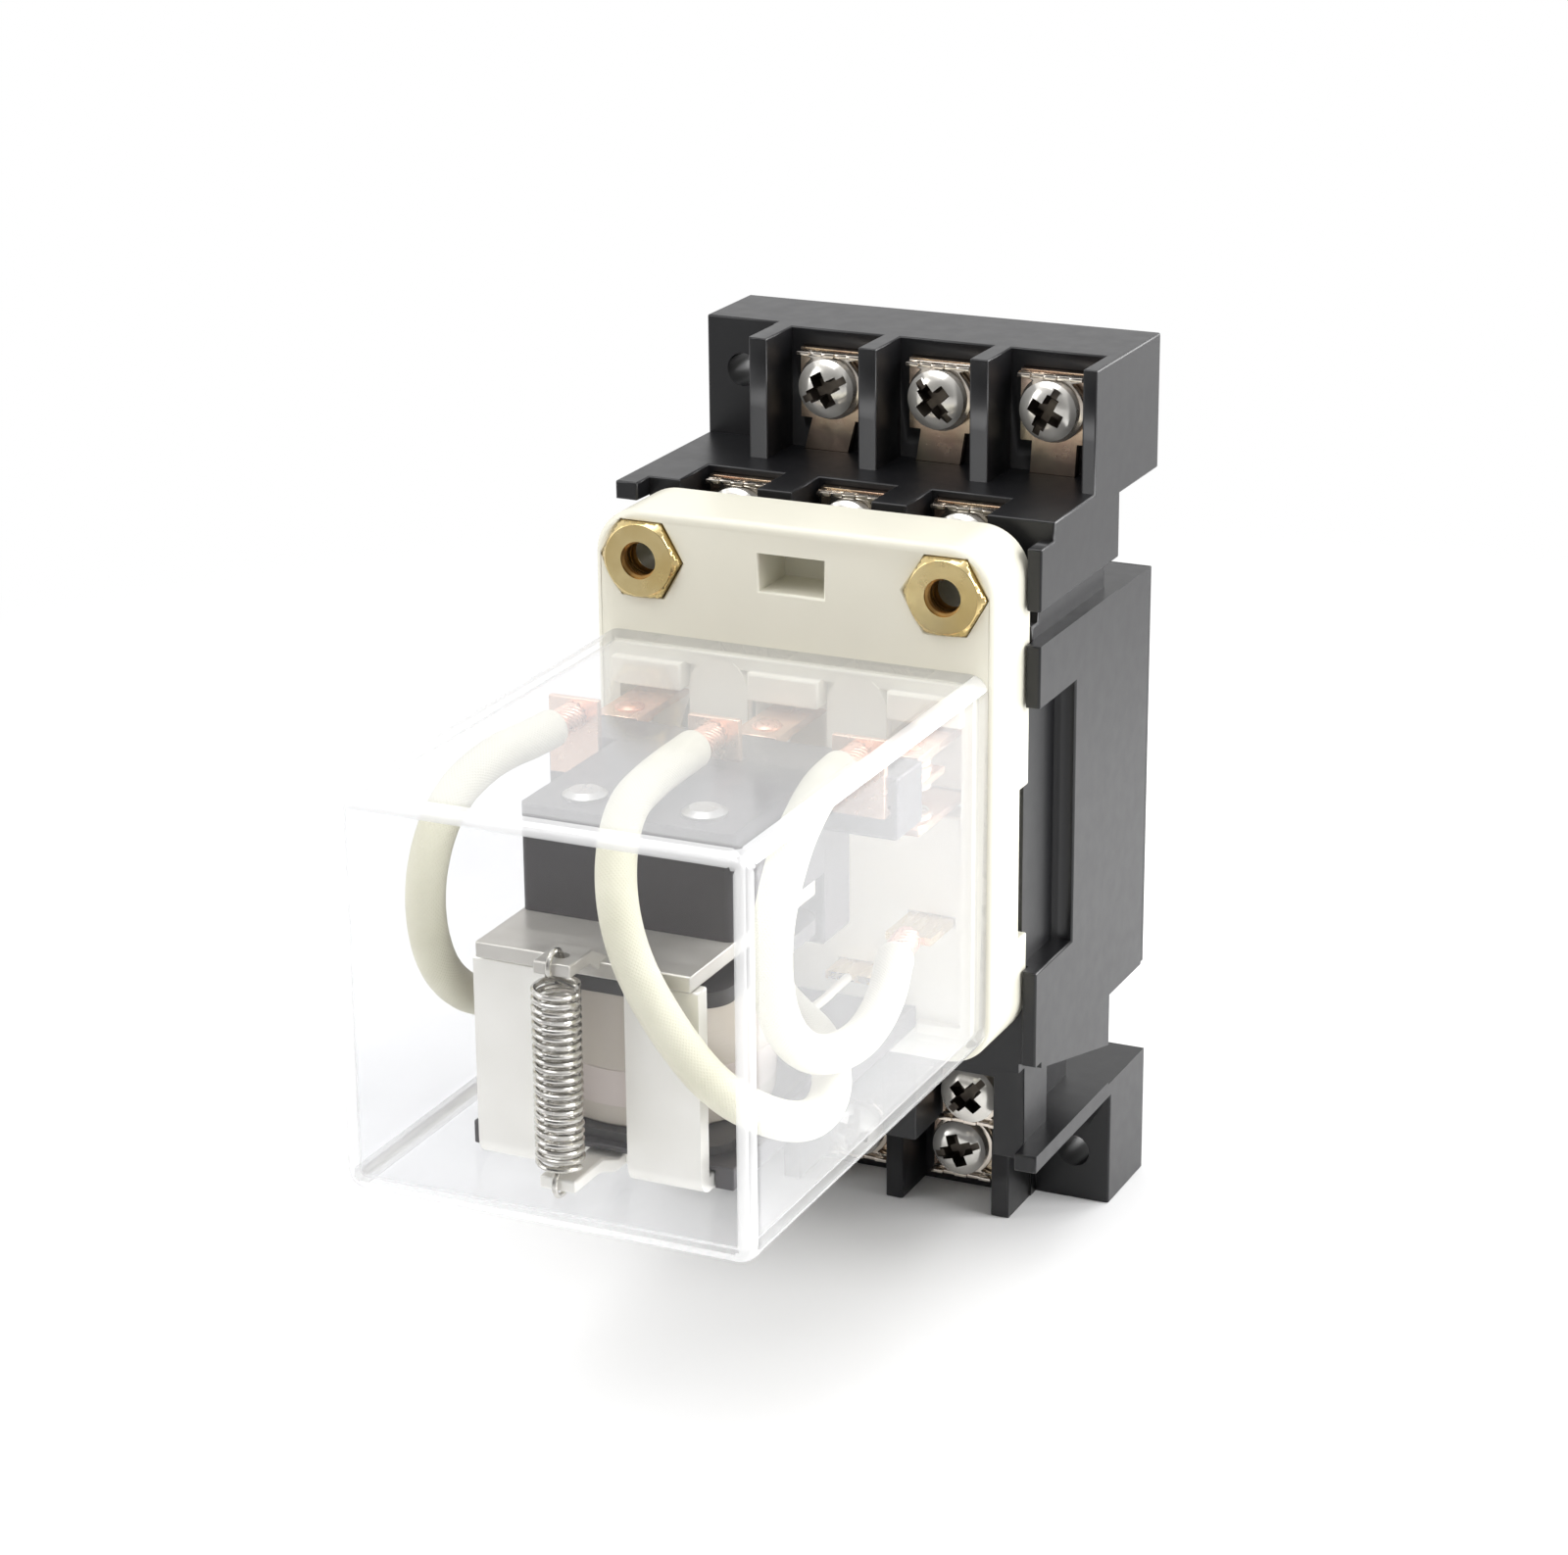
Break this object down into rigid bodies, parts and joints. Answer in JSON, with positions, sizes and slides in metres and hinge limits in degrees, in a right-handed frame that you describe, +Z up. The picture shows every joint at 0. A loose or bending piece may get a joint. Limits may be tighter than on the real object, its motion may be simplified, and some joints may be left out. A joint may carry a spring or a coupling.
{
  "type": "power relay with socket",
  "caption": "Plug-in power relay with a clear cover over its coil, armature and contacts, seated in a black socket with screw terminals and diagonal panel holes.",
  "frame": {"origin": "midway between the axes of the two diagonal panel holes, in the plane where the socket's back meets the panel", "axes": "+Y points into the panel, along the panel holes; the relay stands out towards -Y; +Z is up, along the socket's length; +X is across its width"},
  "size_m": [0.0606, 0.123, 0.1218],
  "materials": {
    "socket_black": "black moulded thermoset plastic with a dull sheen",
    "back_sheet": "flat black insulating sheet",
    "rivet_steel": "plated steel",
    "terminal_nickel": "nickel-plated strip",
    "screw_nickel": "bright nickel-plated steel",
    "base_ivory": "warm ivory moulded plastic",
    "cover_clear": "clear polished polycarbonate",
    "nut_brass": "plain brass",
    "contact_brass": "copper-coloured brass blade with a silver button",
    "frame_black": "black moulded plastic",
    "iron_nickel": "nickel-plated soft iron, folded and stamped",
    "bobbin_plastic": "dark moulded plastic",
    "coil_wrap": "shiny beige-grey film over a wire winding",
    "spring_steel": "bright spring steel",
    "lead_white": "white braided sleeve over a copper braid",
    "wire_white": "pale wire insulation"
  },
  "bodies": {
    "socket": {"socket_body": "socket_black", "socket_back_plate": "back_sheet", "socket_rivets": "rivet_steel", "terminal_clamps": "terminal_nickel", "strip_nc_1": "terminal_nickel", "strip_nc_2": "terminal_nickel", "strip_nc_3": "terminal_nickel", "strip_no_1": "terminal_nickel", "strip_no_2": "terminal_nickel", "strip_no_3": "terminal_nickel", "strip_com_1": "terminal_nickel", "strip_com_2": "terminal_nickel", "strip_com_3": "terminal_nickel", "strip_coil_1": "terminal_nickel", "strip_coil_2": "terminal_nickel"},
    "relay": {"relay_base": "base_ivory", "cover": "cover_clear", "mounting_nuts": "nut_brass", "magnet_frame": "frame_black", "yoke": "iron_nickel", "bobbin": "bobbin_plastic", "winding": "coil_wrap", "core": "iron_nickel", "coil_wires": "wire_white", "return_spring": "spring_steel", "lead_1": "lead_white", "lead_2": "lead_white", "lead_3": "lead_white", "pin_coil_1": "contact_brass", "pin_coil_2": "contact_brass", "contact_nc_1": "contact_brass", "contact_no_1": "contact_brass", "pin_com_1": "contact_brass", "contact_nc_2": "contact_brass", "contact_no_2": "contact_brass", "pin_com_2": "contact_brass", "contact_nc_3": "contact_brass", "contact_no_3": "contact_brass", "pin_com_3": "contact_brass"},
    "armature_unit": {"armature": "iron_nickel", "armature_rivets": "rivet_steel", "contact_carrier": "frame_black", "moving_contact_1": "contact_brass", "moving_contact_2": "contact_brass", "moving_contact_3": "contact_brass"},
    "screw_nc_1_body": {"screw_nc_1": "screw_nickel"},
    "screw_nc_2_body": {"screw_nc_2": "screw_nickel"},
    "screw_nc_3_body": {"screw_nc_3": "screw_nickel"},
    "screw_no_1_body": {"screw_no_1": "screw_nickel"},
    "screw_no_2_body": {"screw_no_2": "screw_nickel"},
    "screw_no_3_body": {"screw_no_3": "screw_nickel"},
    "screw_com_1_body": {"screw_com_1": "screw_nickel"},
    "screw_com_2_body": {"screw_com_2": "screw_nickel"},
    "screw_com_3_body": {"screw_com_3": "screw_nickel"},
    "screw_coil_1_body": {"screw_coil_1": "screw_nickel"},
    "screw_coil_2_body": {"screw_coil_2": "screw_nickel"}
  },
  "joints": [
    {"name": "relay_unplug", "type": "slide", "parent": "socket", "child": "relay", "axis": [0, -1, 0], "range_m": [0, 0.025]},
    {"name": "armature_tilt", "type": "hinge", "parent": "relay", "child": "armature_unit", "pos_m": [0, -0.1085, 0.005], "axis": [-1, 0, 0], "range_deg": [0, 3.2], "stiffness_Nm_per_rad": 0.045, "springref_deg": -25.21, "deforming": ["return_spring", "lead_1", "lead_2", "lead_3"]},
    {"name": "screw_nc_1_turn", "type": "hinge", "parent": "socket", "child": "screw_nc_1_body", "pos_m": [-0.017, -0.0346, 0.0387], "axis": [0, -1, 0], "continuous": true},
    {"name": "screw_nc_2_turn", "type": "hinge", "parent": "socket", "child": "screw_nc_2_body", "pos_m": [-0.0008, -0.0346, 0.0387], "axis": [0, -1, 0], "continuous": true},
    {"name": "screw_nc_3_turn", "type": "hinge", "parent": "socket", "child": "screw_nc_3_body", "pos_m": [0.0154, -0.0346, 0.0387], "axis": [0, -1, 0], "continuous": true},
    {"name": "screw_no_1_turn", "type": "hinge", "parent": "socket", "child": "screw_no_1_body", "pos_m": [-0.01, -0.0207, 0.0537], "axis": [0, -1, 0], "continuous": true},
    {"name": "screw_no_2_turn", "type": "hinge", "parent": "socket", "child": "screw_no_2_body", "pos_m": [0.0059, -0.0207, 0.0537], "axis": [0, -1, 0], "continuous": true},
    {"name": "screw_no_3_turn", "type": "hinge", "parent": "socket", "child": "screw_no_3_body", "pos_m": [0.0218, -0.0207, 0.0537], "axis": [0, -1, 0], "continuous": true},
    {"name": "screw_com_1_turn", "type": "hinge", "parent": "socket", "child": "screw_com_1_body", "pos_m": [-0.0218, -0.0207, -0.0537], "axis": [0, -1, 0], "continuous": true},
    {"name": "screw_com_2_turn", "type": "hinge", "parent": "socket", "child": "screw_com_2_body", "pos_m": [-0.0059, -0.0207, -0.0537], "axis": [0, -1, 0], "continuous": true},
    {"name": "screw_com_3_turn", "type": "hinge", "parent": "socket", "child": "screw_com_3_body", "pos_m": [0.01, -0.0207, -0.0537], "axis": [0, -1, 0], "continuous": true},
    {"name": "screw_coil_1_turn", "type": "hinge", "parent": "socket", "child": "screw_coil_1_body", "pos_m": [-0.0154, -0.0346, -0.0387], "axis": [0, -1, 0], "continuous": true},
    {"name": "screw_coil_2_turn", "type": "hinge", "parent": "socket", "child": "screw_coil_2_body", "pos_m": [0.017, -0.0346, -0.0387], "axis": [0, -1, 0], "continuous": true}
  ]
}
